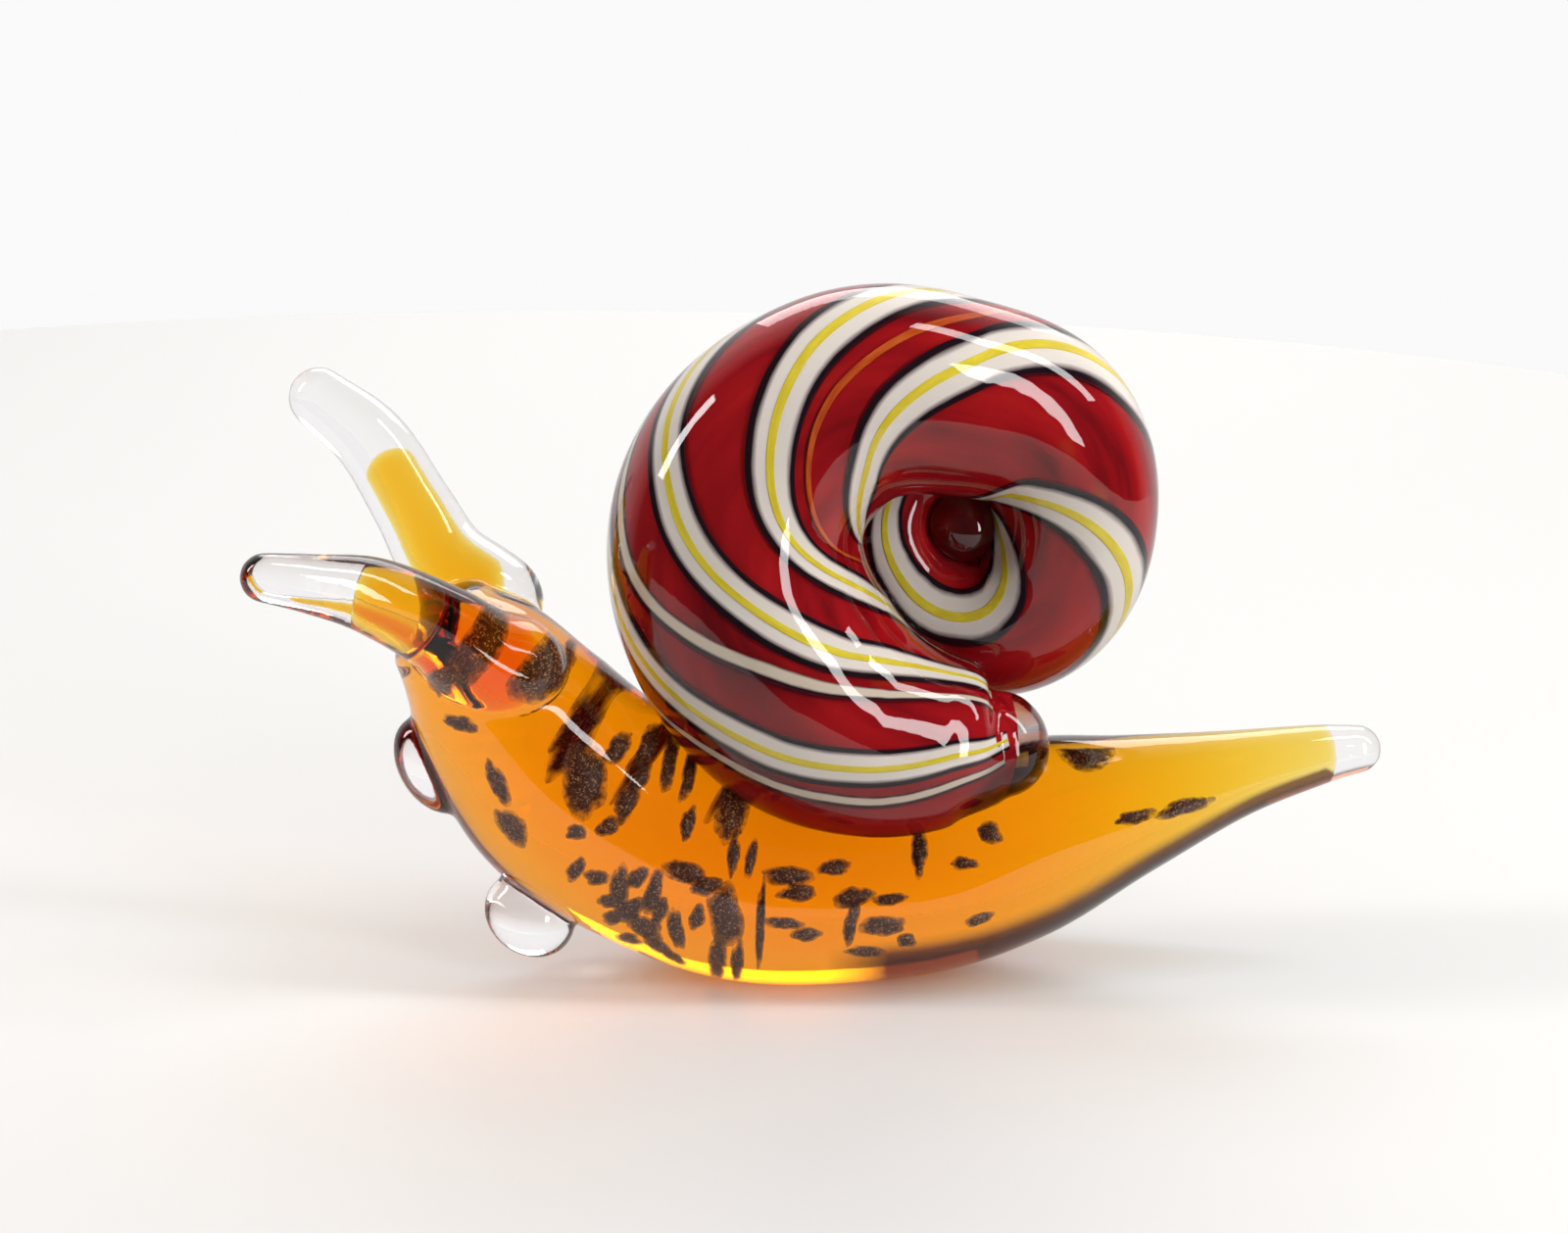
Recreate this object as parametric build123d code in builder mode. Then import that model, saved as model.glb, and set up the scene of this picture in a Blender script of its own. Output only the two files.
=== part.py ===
from build123d import *
import os
from math import cos, radians, sin, sqrt

# A solid glass snail: an amber body cased in clear glass, two drawn-out horns, two clear drops
# and a coiled red shell with twisted canes. Millimetres, +Z up, the head towards -X, the tail
# towards +X, and the origin at the middle of the flat foot that is ground under the belly.

# Body
body_reach = 116.7
body_rise = 76.0
body_depth = 41.0
body_width = 47.0
casing_wall = 2.6
tail_end_length = 4.6
head_end_length = 6.0

# Clearance between two layers of fused glass, and the thickness of the chips between them
fused_gap = 0.15
fleck_thickness = 0.3
fleck_room = 1.0
row_step = 0.05

# Horns
horn_root_x = -47.0
horn_root_z = 61.5
horn_reach = 54.0
horn_spread = 36.0
near_horn_rise = 27.0
far_horn_rise = 50.0
horn_thickness = 21.0
near_horn_core_thickness = 12.6
far_horn_core_thickness = 8.4
near_horn_core_rows = 4
far_horn_core_rows = 4

# Drops of clear glass on the front of the neck
chin_drop_length = 21.0
chin_drop_width = 14.0
chin_drop_lean = 28.0
chest_drop_length = 19.0
chest_drop_width = 16.0
chest_drop_lean = 52.0
drop_side = 3.0

# Shell
shell_radius = 70.0
shell_tube = 49.6
shell_pitch = 20.0
shell_front = 6.0
shell_centre_x = 33.0
shell_centre_z = 90.0
shell_wall = 1.6
cane_thickness = 0.6
thread_thickness = 0.3
cane_clearance = 0.3
cane_tolerance = 0.05
shell_tip_width = 19.0
shell_tip_depth = 17.0

# Turn of the coil, in degrees clockwise from straight down as seen from the front
lip_turn = -26.0
cavity_turn = -28.0
tip_turn = 470.0
coil_step = 15.0
cane_step = 10.0
turn_step = 1.0

# Share of a cane's spread that its yellow thread takes
yellow_thread_share = 0.16

# Where the points across a band lie, from its middle
band_shares = (-0.5, -0.25, 0.0, 0.25, 0.5)

# How far a rounded end goes on, and its half thickness there
end_shares = [(distance, sqrt(1 - distance**2)) for distance in (0.4, 0.7, 0.88, 0.97, 0.995)]

# Middle of the body from tail to head, forward and up, with its half depth and half width
body_shares = [
    (0.962, 0.596, 0.23, 0.21),
    (0.895, 0.580, 0.29, 0.28),
    (0.758, 0.530, 0.42, 0.41),
    (0.595, 0.447, 0.635, 0.60),
    (0.431, 0.349, 0.84, 0.79),
    (0.266, 0.270, 0.94, 0.93),
    (0.099, 0.240, 0.966, 0.99),
    (-0.067, 0.256, 1.005, 1.02),
    (-0.215, 0.352, 1.06, 1.00),
    (-0.347, 0.492, 1.11, 0.94),
    (-0.437, 0.655, 1.00, 0.87),
    (-0.501, 0.808, 0.86, 0.81),
    (-0.545, 0.930, 0.70, 0.72),
]

# Middle of each horn from root to tip: forward, sideways and up, with its half thickness
near_horn_shares = [
    (0.00, 0.20, 0.00, 1.06),
    (0.17, 0.34, 0.16, 1.00),
    (0.33, 0.50, 0.47, 0.82),
    (0.54, 0.72, 0.77, 0.70),
    (0.73, 0.89, 0.91, 0.54),
    (0.88, 1.00, 0.99, 0.44),
]
far_horn_shares = [
    (0.00, 0.18, 0.00, 1.06),
    (0.20, 0.38, 0.20, 0.98),
    (0.38, 0.54, 0.34, 0.87),
    (0.50, 0.66, 0.54, 0.77),
    (0.66, 0.80, 0.79, 0.71),
    (0.86, 0.93, 0.95, 0.59),
]

# The clear drops' middles on the neck, forward and up
chin_drop_shares = (-0.585, 0.565)
chest_drop_shares = (-0.430, 0.160)

# The shell's coil: turn, then distance from its centre, half thickness and depth
coil_shares = [
    (-32.0, 0.575, 0.14, 0.000),
    (-20.0, 0.575, 0.36, 0.000),
    (0.0, 0.600, 0.67, 0.000),
    (22.5, 0.612, 0.88, 0.060),
    (45.0, 0.618, 0.99, 0.125),
    (90.0, 0.590, 0.965, 0.250),
    (135.0, 0.467, 0.865, 0.375),
    (180.0, 0.354, 0.785, 0.500),
    (225.0, 0.350, 0.725, 0.625),
    (270.0, 0.340, 0.65, 0.770),
    (315.0, 0.336, 0.60, 0.970),
    (360.0, 0.272, 0.50, 1.200),
    (405.0, 0.205, 0.42, 1.290),
    (450.0, 0.150, 0.36, 1.340),
    (495.0, 0.120, 0.29, 1.440),
]

# Bands on the coil: turn, then angle round the tube from outwards to the front, and spread
cane_angles = [
    [
        (-14.0, 112.0, 22.0),
        (0.0, 98.0, 22.0),
        (30.0, 78.0, 23.0),
        (52.0, 57.0, 24.0),
        (71.0, 28.0, 26.0),
        (92.0, -5.0, 28.0),
        (150.0, -98.0, 38.0),
        (215.0, -209.0, 48.0),
        (240.0, -238.0, 54.0),
        (270.0, -291.0, 58.0),
        (289.0, -321.0, 56.0),
        (310.0, -346.0, 52.0),
        (360.0, -378.0, 46.0),
        (400.0, -395.0, 40.0),
    ],
    [
        (-14.0, 172.0, 22.0),
        (8.0, 156.0, 22.0),
        (30.0, 139.0, 23.0),
        (56.0, 116.0, 25.0),
        (76.0, 93.0, 27.0),
        (95.0, 56.0, 29.0),
        (108.0, 24.0, 31.0),
        (122.0, -2.0, 33.0),
        (180.0, -82.0, 40.0),
        (240.0, -158.0, 46.0),
        (291.0, -212.0, 46.0),
        (339.0, -247.0, 50.0),
        (394.0, -268.0, 52.0),
        (450.0, -283.0, 46.0),
    ],
    [
        (-14.0, 222.0, 22.0),
        (20.0, 194.0, 22.0),
        (49.0, 168.0, 24.0),
        (82.0, 133.0, 27.0),
        (108.0, 93.0, 30.0),
        (128.0, 60.0, 35.0),
        (145.0, 34.0, 39.0),
        (162.0, 8.0, 42.0),
        (200.0, -40.0, 46.0),
        (260.0, -110.0, 50.0),
        (320.0, -166.0, 46.0),
        (366.0, -202.0, 40.0),
        (400.0, -217.0, 34.0),
    ],
    [
        (-14.0, 318.0, 22.0),
        (40.0, 262.0, 24.0),
        (80.0, 210.0, 28.0),
        (100.0, 177.0, 30.0),
        (125.0, 137.0, 34.0),
        (149.0, 97.0, 38.0),
        (180.0, 56.0, 42.0),
        (201.0, 34.0, 46.0),
        (222.0, 13.0, 50.0),
        (240.0, -6.0, 54.0),
        (300.0, -72.0, 54.0),
        (366.0, -130.0, 46.0),
        (400.0, -152.0, 38.0),
    ],
]
thin_cane_angles = [
    [
        (-14.0, 150.0, 6.0),
        (3.0, 138.0, 6.0),
        (32.0, 117.0, 8.0),
        (57.0, 91.0, 11.0),
        (70.0, 67.0, 12.0),
        (82.0, 37.0, 12.0),
        (92.0, 19.0, 10.0),
        (104.0, 0.0, 8.0),
        (120.0, -26.0, 6.0),
    ],
    [
        (-12.0, 88.0, 8.0),
        (2.0, 75.0, 8.0),
        (15.0, 66.0, 8.0),
        (28.0, 59.0, 8.0),
        (44.0, 46.0, 8.0),
        (53.0, 33.0, 8.0),
        (62.0, 12.0, 7.0),
        (75.0, -18.0, 6.0),
    ],
]
orange_thread_angles = [
    (60.0, 190.0, 3.5),
    (96.0, 138.0, 3.5),
    (113.0, 110.0, 3.5),
    (128.0, 86.0, 4.0),
    (147.0, 63.0, 4.5),
    (161.0, 45.0, 5.0),
    (184.0, 17.0, 5.0),
    (220.0, -28.0, 5.0),
    (300.0, -115.0, 5.0),
    (366.0, -166.0, 4.0),
]

# Chips on the core: row of the body's table, angle up from the side, half length, half height, tilt
near_fleck_shares = [
    (11.3, -12.0, 0.055, 0.040, 0.0),
    (10.9, 28.0, 0.075, 0.050, 20.0),
    (10.6, -38.0, 0.070, 0.022, 10.0),
    (10.0, -48.0, 0.060, 0.022, -8.0),
    (9.6, 10.0, 0.050, 0.080, 25.0),
    (9.3, -15.0, 0.075, 0.028, 60.0),
    (9.1, 32.0, 0.050, 0.040, 0.0),
    (8.9, -35.0, 0.060, 0.030, 15.0),
    (8.8, 6.0, 0.040, 0.080, -30.0),
    (8.6, -55.0, 0.070, 0.022, 5.0),
    (8.4, -18.0, 0.035, 0.060, -15.0),
    (8.3, 24.0, 0.040, 0.060, 30.0),
    (8.0, -38.0, 0.030, 0.055, 10.0),
    (7.9, 0.0, 0.055, 0.026, -20.0),
    (7.6, -22.0, 0.032, 0.080, 4.0),
    (7.4, 26.0, 0.030, 0.075, 12.0),
    (7.1, -40.0, 0.016, 0.085, -2.0),
    (6.9, -4.0, 0.065, 0.022, 4.0),
    (6.7, -26.0, 0.060, 0.024, -6.0),
    (6.4, 8.0, 0.050, 0.028, 14.0),
    (6.1, -20.0, 0.035, 0.060, 25.0),
    (5.8, -42.0, 0.045, 0.024, 10.0),
    (5.6, 16.0, 0.016, 0.065, -5.0),
    (5.2, -6.0, 0.050, 0.022, 8.0),
    (4.8, 12.0, 0.030, 0.030, -40.0),
    (3.5, -22.0, 0.060, 0.018, 8.0),
]
far_fleck_shares = [
    (11.2, 12.0, 0.060, 0.030, 10.0),
    (10.2, -14.0, 0.050, 0.040, 30.0),
    (9.4, 22.0, 0.045, 0.065, -20.0),
    (8.9, -22.0, 0.065, 0.030, 12.0),
    (8.3, 8.0, 0.050, 0.050, 40.0),
    (7.7, -34.0, 0.060, 0.024, -6.0),
    (7.2, 14.0, 0.030, 0.070, 8.0),
    (6.6, -10.0, 0.060, 0.026, 5.0),
    (6.0, 20.0, 0.045, 0.035, -18.0),
    (5.3, -24.0, 0.055, 0.024, 10.0),
    (4.4, 4.0, 0.050, 0.020, 6.0),
]


def between(rows, place):
    """The row of a table at a place in its first column, eased smoothly between its rows."""
    last = len(rows) - 1
    at = min(max(sum(row[0] <= place for row in rows) - 1, 0), last - 1)
    before = rows[max(at - 1, 0)]
    start = rows[at]
    end = rows[at + 1]
    after = rows[min(at + 2, last)]
    span = end[0] - start[0]
    t = (place - start[0]) / span
    values = []
    for column in range(1, len(start)):
        slope_in = (end[column] - before[column]) / (end[0] - before[0]) * span
        slope_out = (after[column] - start[column]) / (after[0] - start[0]) * span
        rise = end[column] - start[column]
        bend = slope_in + slope_out - 2 * rise
        turn = 3 * rise - 2 * slope_in - slope_out
        values.append(start[column] + t * (slope_in + t * (turn + t * bend)))
    return values


def spine_planes(points, side):
    """A plane across the line through the points at each of them, its X along the side."""
    planes = []
    for at, point in enumerate(points):
        ahead = points[min(at + 1, len(points) - 1)]
        behind = points[max(at - 1, 0)]
        planes.append(Plane(origin=point, x_dir=side, z_dir=ahead - behind))
    return planes


def lofted(planes, radii):
    """One smooth solid through an ellipse on each plane."""
    with BuildPart() as solid:
        for plane, (across, up) in zip(planes, radii):
            with BuildSketch(plane):
                Ellipse(across, up)
        loft()
    return solid.part


def round_off(planes, radii, length):
    """Adds the rounded end of a tube, of a given length, after its last plane."""
    end = planes[-1]
    across, up = radii[-1]
    for distance, share in end_shares:
        planes.append(end.offset(distance * length))
        radii.append((across * share, up * share))


def body_solid(inset, first_row):
    """The body, as much smaller all round as the inset, starting at a row near the tail."""
    rows = body_shares[first_row:]
    points = [Vector(body_reach * row[0], 0, body_rise * row[1]) for row in rows]
    planes = spine_planes(points, (0, 1, 0))
    radii = [(body_width / 2 * row[3] - inset, body_depth / 2 * row[2] - inset) for row in rows]
    round_off(planes, radii, head_end_length - inset)
    planes = [Plane(origin=p.origin, x_dir=p.x_dir, z_dir=-p.z_dir) for p in reversed(planes)]
    radii.reverse()
    round_off(planes, radii, tail_end_length - inset)
    return lofted(planes, radii)


def horn_solid(shares, side, rise, thickness, inset):
    """A horn on one side of the head, tapering to a rounded tip, smaller all round by the inset."""
    root = Vector(horn_root_x, 0, horn_root_z)
    points = [
        root + Vector(-horn_reach * row[0], side * horn_spread * row[1], rise * row[2])
        for row in shares
    ]
    with BuildPart() as solid:
        with BuildLine() as path:
            route = Spline(points)
        for point, row in zip(points, shares):
            place = route.param_at_point(point)
            with BuildSketch(Plane(origin=point, z_dir=route % place)):
                Circle(thickness / 2 * row[3] - inset)
        sweep(path=path.line, multisection=True)
        with Locations(points[-1]):
            Sphere(thickness / 2 * shares[-1][3] - inset)
    return solid.part


def near_horn_room():
    """The near horn's whole space, which its neighbours are kept out of."""
    return horn_solid(near_horn_shares, -1, near_horn_rise, horn_thickness, -fused_gap)


def drop_solid(length, width, shares, lean):
    """A rounded drop of glass on the front of the neck, its long axis leaning back from it."""
    middle = Vector(body_reach * shares[0], -drop_side, body_rise * shares[1])
    long_axis = Vector(-sin(radians(lean)), 0, cos(radians(lean)))
    girth = Plane(origin=middle, x_dir=(0, 1, 0), z_dir=long_axis)
    lower = [(-distance, share) for distance, share in reversed(end_shares)]
    stations = [*lower, (0, 1), *end_shares]
    planes = [girth.offset(length / 2 * distance) for distance, share in stations]
    return lofted(planes, [(width / 2 * share, width / 2 * share) for distance, share in stations])


def fleck_solids(shares, side):
    """Thin chips lying on one side of the amber core, each flat against it."""
    rows = [(at, *row) for at, row in enumerate(body_shares)]
    with BuildPart() as solids:
        for place, lift, half_length, half_height, tilt in shares:
            forward, up, half_depth, half_width = between(rows, place)
            ahead_forward, ahead_up = between(rows, place + row_step)[:2]
            along = Vector(
                body_reach * (ahead_forward - forward), 0, body_rise * (ahead_up - up)
            ).normalized()
            across = Vector(0, side, 0)
            top = along.cross(Vector(0, 1, 0))
            depth = body_depth / 2 * half_depth - body_core_inset + fused_gap
            width = body_width / 2 * half_width - body_core_inset + fused_gap
            rise = sin(radians(lift))
            reach = cos(radians(lift))
            middle = Vector(body_reach * forward, 0, body_rise * up)
            normal = across * (depth * reach) + top * (width * rise)
            seat = Plane(
                origin=middle + across * (width * reach) + top * (depth * rise),
                x_dir=along,
                z_dir=normal,
            )
            with BuildSketch(seat.rotated((0, 0, tilt))):
                Ellipse(body_depth * half_length, body_depth * half_height)
            extrude(amount=fleck_thickness)
    return solids.part


def coil_centre(turn):
    """The middle of the coiled tube at a turn."""
    away, half, depth = between(coil_shares, turn)
    outward = Vector(-sin(radians(turn)), 0, -cos(radians(turn)))
    centre = Vector(shell_centre_x, shell_pitch * depth - shell_front, shell_centre_z)
    return centre + outward * shell_radius * away


def coil_plane(turn):
    """The plane across the coiled tube at a turn, its X outwards and its Y to the front."""
    outward = Vector(-sin(radians(turn)), 0, -cos(radians(turn)))
    along = coil_centre(turn + turn_step) - coil_centre(turn - turn_step)
    return Plane(origin=coil_centre(turn), x_dir=outward, z_dir=along)


def coil_radius(turn):
    """The outer radius of the coiled tube at a turn."""
    return shell_tube / 2 * between(coil_shares, turn)[1]


def turns_between(start, end, step):
    """Turns at even steps of about a given size, with both ends."""
    count = round((end - start) / step)
    return [start + (end - start) * at / count for at in range(count + 1)]


def coil_solid(inset, start_turn):
    """The coiled tube, smaller all round, from a turn near the lip to its rounded tip."""
    turns = turns_between(start_turn, tip_turn, coil_step)
    with BuildPart() as solid:
        with BuildLine() as path:
            Spline([coil_centre(turn) for turn in turns])
        for turn in turns:
            with BuildSketch(coil_plane(turn)):
                Circle(coil_radius(turn) - inset)
        sweep(path=path.line, multisection=True)
        with Locations(coil_plane(tip_turn)):
            Sphere(coil_radius(tip_turn) - inset)
    return solid.part


def coil_skin(inset, angles, spread_share):
    """A smooth band round part of the coiled tube, as wide as a share of its table's spread."""
    rows = []
    for turn in turns_between(angles[0][0], angles[-1][0], cane_step):
        plane = coil_plane(turn)
        radius = coil_radius(turn) - inset
        middle, spread = between(angles, turn)
        row = []
        for share in band_shares:
            around = radians(middle + share * spread_share * spread)
            row.append(plane.from_local_coords((radius * cos(around), radius * sin(around))))
        rows.append(row)
    return Face.make_surface_from_array_of_points(rows, tol=cane_tolerance)


def strip(inset, thickness, angles, spread_share):
    """A band of glass laid along the coil, closed by straight sides between its two skins."""
    lower = coil_skin(inset, angles, spread_share)
    upper = coil_skin(inset - thickness, angles, spread_share)
    sides = [
        Face.make_surface_from_curves(low, high)
        for low, high in zip(lower.edges(), upper.edges())
    ]
    return Solid(Shell([lower, upper, *sides]))


os.makedirs("parts", exist_ok=True)


def write(piece, label):
    """Labels a finished piece and writes it under its name."""
    piece.label = label
    export_step(piece, f"parts/{label}.step")


# How far each layer lies under the glass's outer skin
body_core_inset = casing_wall + fleck_room
thread_inset = shell_wall + cane_clearance + thread_thickness
cane_inset = thread_inset + fused_gap + cane_thickness
shell_core_inset = cane_inset + cane_clearance

# Body casing: clear, hollow for the core, open under the shell and ground flat below
with BuildPart() as body_casing:
    add(body_solid(0, 0))
    add(body_solid(casing_wall, 1), mode=Mode.SUBTRACT)
    add(coil_solid(-fused_gap, lip_turn), mode=Mode.SUBTRACT)
    split(bisect_by=Plane.XY, keep=Keep.TOP)
write(body_casing.part, "body_casing")

# Body core: amber
with BuildPart() as body_core:
    add(body_solid(body_core_inset, 1))
    add(coil_solid(-fused_gap, lip_turn), mode=Mode.SUBTRACT)
write(body_core.part, "body_core")

# Shell core: red
with BuildPart() as shell_core:
    add(coil_solid(shell_core_inset, lip_turn))
write(shell_core.part, "shell_core")

# Canes: four striped bands, each with a yellow thread along its middle, and two thin ones
for at, angles in enumerate(cane_angles):
    with BuildPart() as cane:
        add(strip(cane_inset, cane_thickness, angles, 1))
    write(cane.part, f"cane_{at + 1}")
    with BuildPart() as thread:
        add(strip(thread_inset, thread_thickness, angles, yellow_thread_share))
    write(thread.part, f"yellow_thread_{at + 1}")

for at, angles in enumerate(thin_cane_angles):
    with BuildPart() as thin_cane:
        add(strip(cane_inset, cane_thickness, angles, 1))
    write(thin_cane.part, f"thin_cane_{at + 1}")

# Orange thread: a thin one between two of the canes
with BuildPart() as orange_thread:
    add(strip(cane_inset, cane_thickness, orange_thread_angles, 1))
write(orange_thread.part, "orange_thread")

# Shell casing: clear, open at the lip
with BuildPart() as shell_casing:
    add(coil_solid(0, lip_turn))
    add(coil_solid(shell_wall, cavity_turn), mode=Mode.SUBTRACT)
write(shell_casing.part, "shell_casing")

# Shell lip: the clear end of the coil where it is stuck to the body
with BuildPart() as shell_lip:
    with Locations(coil_plane(lip_turn).offset(fused_gap)):
        Sphere(coil_radius(lip_turn))
    split(bisect_by=coil_plane(lip_turn).offset(-fused_gap), keep=Keep.BOTTOM)
    add(body_solid(-fused_gap, 0), mode=Mode.SUBTRACT)
write(shell_lip.part, "shell_lip")

# Shell tip: the twisted-off end of the coil, at the bottom of the pit in its middle
with BuildPart() as shell_tip:
    with Locations((shell_centre_x, shell_tip_depth, shell_centre_z)):
        Sphere(shell_tip_width / 2)
    add(coil_solid(-fused_gap, lip_turn), mode=Mode.SUBTRACT)
write(shell_tip.part, "shell_tip")

# Near horn: clear, with an amber core drawn out of the body
near_core_shares = near_horn_shares[:near_horn_core_rows]
with BuildPart() as near_horn:
    add(horn_solid(near_horn_shares, -1, near_horn_rise, horn_thickness, 0))
    add(
        horn_solid(near_core_shares, -1, near_horn_rise, near_horn_core_thickness, -fused_gap),
        mode=Mode.SUBTRACT,
    )
    add(body_solid(-fused_gap, 0), mode=Mode.SUBTRACT)
write(near_horn.part, "near_horn")

with BuildPart() as near_horn_core:
    add(horn_solid(near_core_shares, -1, near_horn_rise, near_horn_core_thickness, 0))
    add(body_solid(-fused_gap, 0), mode=Mode.SUBTRACT)
write(near_horn_core.part, "near_horn_core")

# Far horn: the same, but longer and steeper, and fused to the near one at its root
far_core_shares = far_horn_shares[:far_horn_core_rows]
with BuildPart() as far_horn:
    add(horn_solid(far_horn_shares, 1, far_horn_rise, horn_thickness, 0))
    add(
        horn_solid(far_core_shares, 1, far_horn_rise, far_horn_core_thickness, -fused_gap),
        mode=Mode.SUBTRACT,
    )
    add(body_solid(-fused_gap, 0), mode=Mode.SUBTRACT)
    add(near_horn_room(), mode=Mode.SUBTRACT)
write(far_horn.part, "far_horn")

with BuildPart() as far_horn_core:
    add(horn_solid(far_core_shares, 1, far_horn_rise, far_horn_core_thickness, 0))
    add(body_solid(-fused_gap, 0), mode=Mode.SUBTRACT)
    add(near_horn_room(), mode=Mode.SUBTRACT)
write(far_horn_core.part, "far_horn_core")

# Clear drops on the neck: one under the head and one at the front of the foot
with BuildPart() as chin_drop:
    add(drop_solid(chin_drop_length, chin_drop_width, chin_drop_shares, chin_drop_lean))
    add(body_solid(-fused_gap, 0), mode=Mode.SUBTRACT)
    add(near_horn_room(), mode=Mode.SUBTRACT)
write(chin_drop.part, "chin_drop")

with BuildPart() as chest_drop:
    add(drop_solid(chest_drop_length, chest_drop_width, chest_drop_shares, chest_drop_lean))
    add(body_solid(-fused_gap, 0), mode=Mode.SUBTRACT)
write(chest_drop.part, "chest_drop")

# Flecks: copper chips between the amber core and the clear casing, on both sides
with BuildPart() as near_flecks:
    add(fleck_solids(near_fleck_shares, -1))
write(near_flecks.part, "near_flecks")

with BuildPart() as far_flecks:
    add(fleck_solids(far_fleck_shares, 1))
write(far_flecks.part, "far_flecks")
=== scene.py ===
"""A solid glass snail: amber body cased in clear glass, drawn-out horns and a striped red shell."""

import random
from math import atan2, cos, log, pi, radians, sin, sqrt

import bmesh
import bpy
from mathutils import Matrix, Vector, noise


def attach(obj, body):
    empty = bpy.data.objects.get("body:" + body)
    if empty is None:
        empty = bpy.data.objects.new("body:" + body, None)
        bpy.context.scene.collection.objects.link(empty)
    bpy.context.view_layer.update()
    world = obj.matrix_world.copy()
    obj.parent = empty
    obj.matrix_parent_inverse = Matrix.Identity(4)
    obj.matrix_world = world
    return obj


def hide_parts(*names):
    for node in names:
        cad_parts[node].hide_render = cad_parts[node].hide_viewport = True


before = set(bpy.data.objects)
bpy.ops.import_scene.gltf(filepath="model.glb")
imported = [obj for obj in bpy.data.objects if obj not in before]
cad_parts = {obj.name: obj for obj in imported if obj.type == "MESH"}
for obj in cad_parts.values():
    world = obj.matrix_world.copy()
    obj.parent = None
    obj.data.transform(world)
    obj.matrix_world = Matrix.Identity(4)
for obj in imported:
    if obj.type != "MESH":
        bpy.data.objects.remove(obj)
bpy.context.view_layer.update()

MM = 0.001
NEAR = -1
FAR = 1
SIDEWAYS = Vector((0, 1, 0))

# Body, in millimetres
BODY_REACH = 116.7
BODY_RISE = 76.0
BODY_DEPTH = 41.0
BODY_WIDTH = 47.0
BODY_CORE_INSET = 1.6
BODY_CORE_LIFT = 0.9
TAIL_END = 4.6
HEAD_END = 6.0
FOOT_HEIGHT = 0.01

# Horns, in millimetres, their starts and ends as rows of their tables
HORN_ROOT = Vector((-47.0, 0.0, 61.5))
HORN_REACH = 54.0
HORN_SPREAD = 36.0
NEAR_HORN_RISE = 27.0
FAR_HORN_RISE = 50.0
HORN_THICKNESS = 21.0
NEAR_CORE_THICKNESS = 12.6
FAR_CORE_THICKNESS = 9.4
NEAR_HORN_START = 0.6
FAR_HORN_START = 1.0
NEAR_CORE_START = 0.8
FAR_CORE_START = 1.3
NEAR_CORE_END = 3.0
FAR_CORE_END = 3.55

# Drops: length and width in millimetres, place as shares of the body's reach and rise, lean in degrees
CHIN_DROP = (21.0, 14.0, (-0.585, 0.565), 28.0)
CHEST_DROP = (19.0, 16.0, (-0.430, 0.160), 52.0)
DROP_SIDE = 3.0

# Shell, in millimetres, its turns in degrees from straight down towards the head
SHELL_RADIUS = 70.0
SHELL_TUBE = 49.6
SHELL_PITCH = 20.0
SHELL_FRONT = 6.0
SHELL_CENTRE = (33.0, 90.0)
SHELL_CORE_INSET = 1.9
LIP_TURN = -12.0
LIP_FLATNESS = 0.88
CORE_TURN = -8.0
CORE_END_FLATNESS = 0.45
TIP_TURN = 500.0
TIP_BALL = Vector((35.5, 12.0, 87.5))
TIP_BALL_RADIUS = 7.6

# Bands and threads on the shell, in millimetres, and the yellow thread's share of a band's width
CANE_INSET = 1.1
CANE_WALL = 0.6
THREAD_INSET = 0.95
THREAD_WALL = 0.4
YELLOW_SHARE = 0.16

# Chips: inset and wall in millimetres, the points of an edge, and how far it wavers, as shares
CHIP_INSET = 1.25
CHIP_WALL = 0.22
CHIP_POINTS = 44
CHIP_GROWTH = 1.12
CHIP_WAVE = 0.45
CHIP_TEETH = 0.10
TEETH_STEP = 3
SEED = 7
PHASES = 50

# A chip's place on the body's side: halvings of the search, and how near the top it may come
SEARCH_HALVINGS = 24
SIDE_LIMIT = 0.97

# Meshes: the remesh's cells and the merging distance in millimetres, and rounds of smoothing
VOXEL = 0.6
MERGE = 0.02
BODY_POLISH = 14
SHELL_POLISH = 6

# Share of a mesh's length in each rounded end, and the part of a row that gives a direction
BODY_CAP = 0.06
HORN_CAP = 0.08
COIL_CAP = 0.05
ROW_STEP = 0.02

# Stage: a round turntable, in metres, and how bright the studio looks
TABLE_RADIUS = 0.585
TABLE_CENTRE = (-0.0945, 0.28, 0.0)
FRONT_LIGHT = 0.51
BACK_LIGHT = 0.32
BACKDROP_LEVEL = 0.955
ROOM_LEVEL = 0.06

# Lamps: name, place, aim, width and length in metres, power in watts
SHELL_MIDDLE = (0.033, 0.0, 0.09)
LAMPS = (
    ("softbox_back", (0.1, 1.1, 0.9), (0, 0.5, 0), 1.2, 0.6, 7.5),
    ("strip_left", (-0.84, -0.045, 0.63), SHELL_MIDDLE, 0.14, 0.50, 3.0),
    ("strip_right", (0.66, -0.14, 0.86), SHELL_MIDDLE, 0.14, 0.95, 4.2),
    ("strip_front", (0.68, -0.73, 0.35), SHELL_MIDDLE, 0.14, 0.85, 4.2),
)

# Camera: its place in metres, and how far it looks down in degrees
CAMERA_PLACE = (0.0, -0.6145, 0.2252)
CAMERA_TILT = 14

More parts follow.
